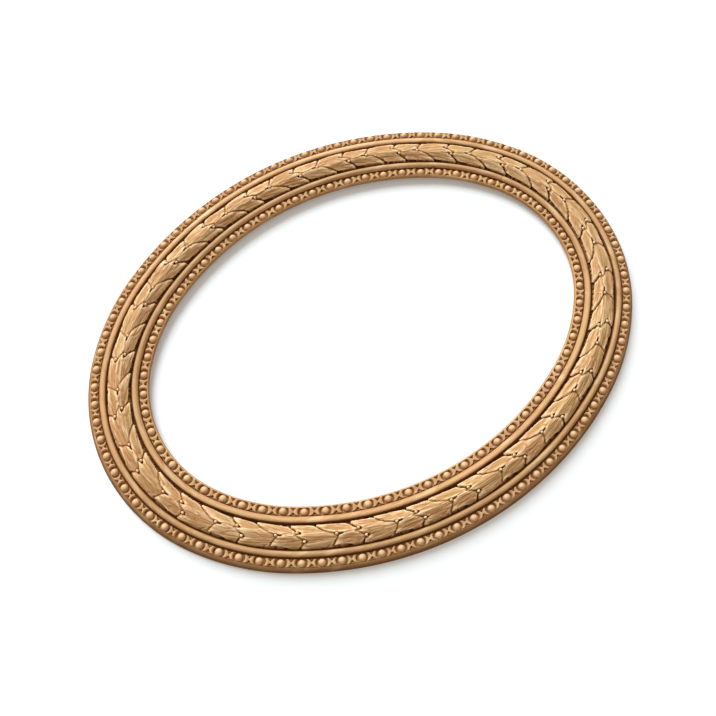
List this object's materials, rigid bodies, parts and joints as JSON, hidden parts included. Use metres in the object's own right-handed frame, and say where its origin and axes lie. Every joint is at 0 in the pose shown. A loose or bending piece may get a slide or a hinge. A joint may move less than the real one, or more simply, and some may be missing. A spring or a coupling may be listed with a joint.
{
  "type": "oval picture frame",
  "caption": "Oval carved wooden picture frame with a laurel garland between rounds and rows of pearls, rebated at the back, with turn buttons and a keyhole plate.",
  "frame": {"origin": "middle of the oval, in the plane of the flat back", "axes": "+X along the long axis, towards the end with the keyhole plate; +Y along the short axis; +Z out of the carved front"},
  "size_m": [0.44, 0.34, 0.013],
  "materials": {
    "ring_wood": "raw, smooth",
    "garland_wood": "raw, carved",
    "pearl_wood": "raw, carved",
    "spline_wood": "raw",
    "plate_steel": "zinc plated",
    "screw_brass": "plated"
  },
  "bodies": {
    "frame": {"ring_segment_1": "ring_wood", "ring_segment_2": "ring_wood", "ring_segment_3": "ring_wood", "ring_segment_4": "ring_wood", "ring_segment_5": "ring_wood", "ring_segment_6": "ring_wood", "ring_segment_7": "ring_wood", "ring_segment_8": "ring_wood", "joint_splines": "spline_wood", "outer_pearls_1": "pearl_wood", "outer_pearls_2": "pearl_wood", "outer_pearls_3": "pearl_wood", "outer_pearls_4": "pearl_wood", "outer_pearls_5": "pearl_wood", "outer_pearls_6": "pearl_wood", "outer_pearls_7": "pearl_wood", "outer_pearls_8": "pearl_wood", "garland_1": "garland_wood", "garland_2": "garland_wood", "garland_3": "garland_wood", "garland_4": "garland_wood", "garland_5": "garland_wood", "garland_6": "garland_wood", "garland_7": "garland_wood", "garland_8": "garland_wood", "inner_pearls_1": "pearl_wood", "inner_pearls_2": "pearl_wood", "inner_pearls_3": "pearl_wood", "inner_pearls_4": "pearl_wood", "inner_pearls_5": "pearl_wood", "inner_pearls_6": "pearl_wood", "inner_pearls_7": "pearl_wood", "inner_pearls_8": "pearl_wood", "button_screws": "screw_brass", "keyhole_plate": "plate_steel", "plate_screws": "screw_brass"},
    "turn_button_1": {"turn_button_1": "plate_steel"},
    "turn_button_2": {"turn_button_2": "plate_steel"},
    "turn_button_3": {"turn_button_3": "plate_steel"},
    "turn_button_4": {"turn_button_4": "plate_steel"},
    "turn_button_5": {"turn_button_5": "plate_steel"},
    "turn_button_6": {"turn_button_6": "plate_steel"}
  },
  "joints": [
    {"name": "turn_button_1_turn", "type": "hinge", "parent": "frame", "child": "turn_button_1", "pos_m": [0.14894, 0.08888, 0], "axis": [0, 0, 1], "range_deg": [0, 90]},
    {"name": "turn_button_2_turn", "type": "hinge", "parent": "frame", "child": "turn_button_2", "pos_m": [0, 0.1415, 0], "axis": [0, 0, 1], "range_deg": [0, 90]},
    {"name": "turn_button_3_turn", "type": "hinge", "parent": "frame", "child": "turn_button_3", "pos_m": [-0.14894, 0.08888, 0], "axis": [0, 0, 1], "range_deg": [0, 90]},
    {"name": "turn_button_4_turn", "type": "hinge", "parent": "frame", "child": "turn_button_4", "pos_m": [-0.14894, -0.08888, 0], "axis": [0, 0, 1], "range_deg": [0, 90]},
    {"name": "turn_button_5_turn", "type": "hinge", "parent": "frame", "child": "turn_button_5", "pos_m": [0, -0.1415, 0], "axis": [0, 0, 1], "range_deg": [0, 90]},
    {"name": "turn_button_6_turn", "type": "hinge", "parent": "frame", "child": "turn_button_6", "pos_m": [0.14894, -0.08888, 0], "axis": [0, 0, 1], "range_deg": [0, 90]}
  ]
}
